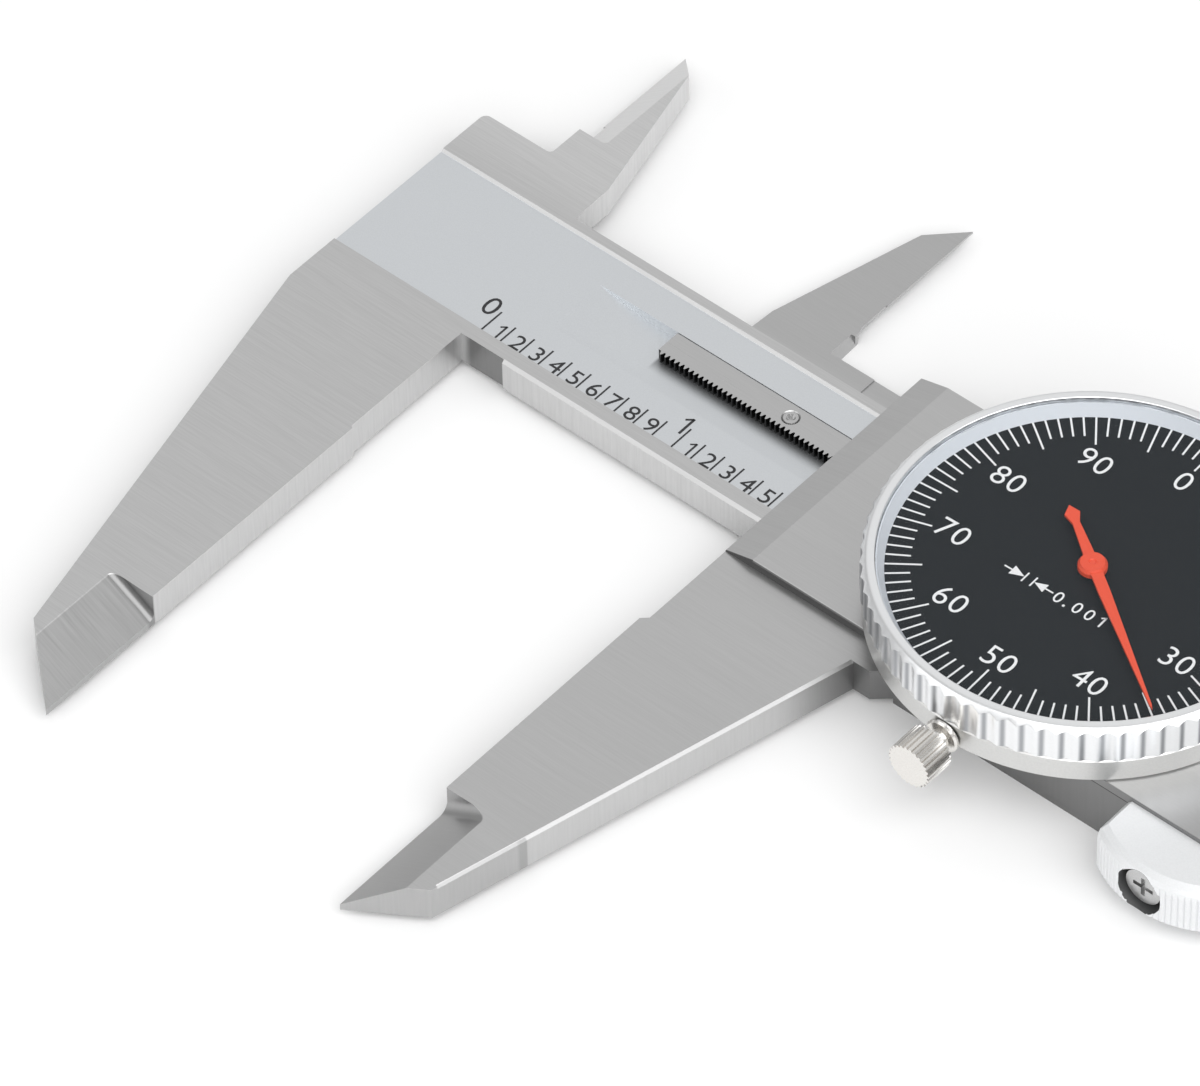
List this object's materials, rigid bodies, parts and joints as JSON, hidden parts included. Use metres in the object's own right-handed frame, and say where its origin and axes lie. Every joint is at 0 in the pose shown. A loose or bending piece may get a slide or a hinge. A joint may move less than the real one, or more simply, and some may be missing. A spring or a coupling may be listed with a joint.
{
  "type": "dial caliper",
  "caption": "Dial caliper: a slider with a round dial runs along a steel beam with a fixed and a moving jaw for outside, inside and depth measuring.",
  "frame": {"origin": "middle of the fixed outside jaw's measuring face, halfway through the beam's thickness", "axes": "+X along the beam, the way the slider opens; +Y across the beam, from the outside jaws to the inside jaws; +Z out of the front, towards the dial"},
  "size_m": [0.4502, 0.1097, 0.0157],
  "materials": {
    "satin_steel": "satin ground",
    "plate_steel": "satin, brushed along the beam",
    "rack_steel": "bright, slightly darker",
    "screw_steel": "turned",
    "cover_satin": "satin chrome",
    "case_aluminium": "bright satin",
    "brass": "machined",
    "dial_black": "matt, printed in white",
    "needle_red": "painted",
    "crystal_clear": "clear acrylic",
    "nickel": "nickel plated",
    "bracket_white": "blasted and anodised",
    "roller_dark": "knurled"
  },
  "bodies": {
    "beam_group": {"beam": "satin_steel", "rack": "rack_steel", "rack_rivets": "rack_steel", "end_stop": "satin_steel", "end_stop_screws": "screw_steel"},
    "slider": {"slider_body": "satin_steel", "front_plate": "plate_steel", "front_plate_screws": "screw_steel", "cover": "cover_satin", "cover_screws": "screw_steel", "back_plate": "satin_steel", "back_plate_screws": "screw_steel", "gib": "brass", "gib_screws": "screw_steel", "dial_case": "case_aluminium", "dial_case_screws": "screw_steel", "movement_plate": "brass", "movement_screws": "screw_steel", "movement_pillars": "brass", "movement_bridge": "brass", "bridge_screws": "screw_steel", "depth_rod": "satin_steel", "depth_rod_rivets": "rack_steel", "thumb_bracket": "bracket_white", "thumb_bracket_screw": "screw_steel", "thumb_bracket_pin": "screw_steel", "roller_pin": "rack_steel"},
    "drive_train": {"drive_arbor": "rack_steel", "drive_gear": "brass", "takeup_gear": "brass", "takeup_spring": "rack_steel"},
    "needle_group": {"centre_arbor": "rack_steel", "needle": "needle_red"},
    "bezel_group": {"bezel": "case_aluminium", "dial_face": "dial_black", "dial_ring": "case_aluminium", "crystal": "crystal_clear"},
    "roller_group": {"thumb_roller": "roller_dark"},
    "bezel_lock": {"bezel_lock_screw": "nickel"},
    "slider_lock": {"slider_lock_screw": "nickel"},
    "lock_shoe_body": {"lock_shoe": "brass"}
  },
  "joints": [
    {"name": "slider_slide", "type": "slide", "parent": "beam_group", "child": "slider", "axis": [1, 0, 0], "range_m": [-0.03899, 0.26581]},
    {"name": "drive_spin", "type": "hinge", "parent": "slider", "child": "drive_train", "pos_m": [0.06582, 0.04128, 0.00595], "axis": [0, 0, 1], "range_deg": [-1441, 8584]},
    {"name": "needle_spin", "type": "hinge", "parent": "slider", "child": "needle_group", "pos_m": [0.07406, 0.0416, 0.00995], "axis": [0, 0, 1], "range_deg": [-38558, 6411]},
    {"name": "bezel_turn", "type": "hinge", "parent": "slider", "child": "bezel_group", "pos_m": [0.07406, 0.0416, 0.00995], "axis": [0, 0, 1], "continuous": true},
    {"name": "thumb_roller_spin", "type": "hinge", "parent": "slider", "child": "roller_group", "pos_m": [0.11584, 0.02725, -0.00005], "axis": [0, 0, 1], "range_deg": [-621, 3644]},
    {"name": "bezel_lock_turn", "type": "hinge", "parent": "slider", "child": "bezel_lock", "pos_m": [0.07406, 0.0166, 0.00626], "axis": [0, -1, 0], "range_deg": [-180, 0]},
    {"name": "slider_lock_turn", "type": "hinge", "parent": "slider", "child": "slider_lock", "pos_m": [0.10624, 0.0596, 0], "axis": [0, 1, 0], "range_deg": [-120, 0]},
    {"name": "lock_shoe_slide", "type": "slide", "parent": "slider", "child": "lock_shoe_body", "axis": [0, -1, 0], "range_m": [-0.00002, 0.00018]}
  ],
  "couplings": [
    {"joint": "drive_spin", "follows": "slider_slide", "rad_per_m": 549.71},
    {"joint": "needle_spin", "follows": "slider_slide", "rad_per_m": -2473.7},
    {"joint": "thumb_roller_spin", "follows": "slider_slide", "rad_per_m": 232.56}
  ]
}
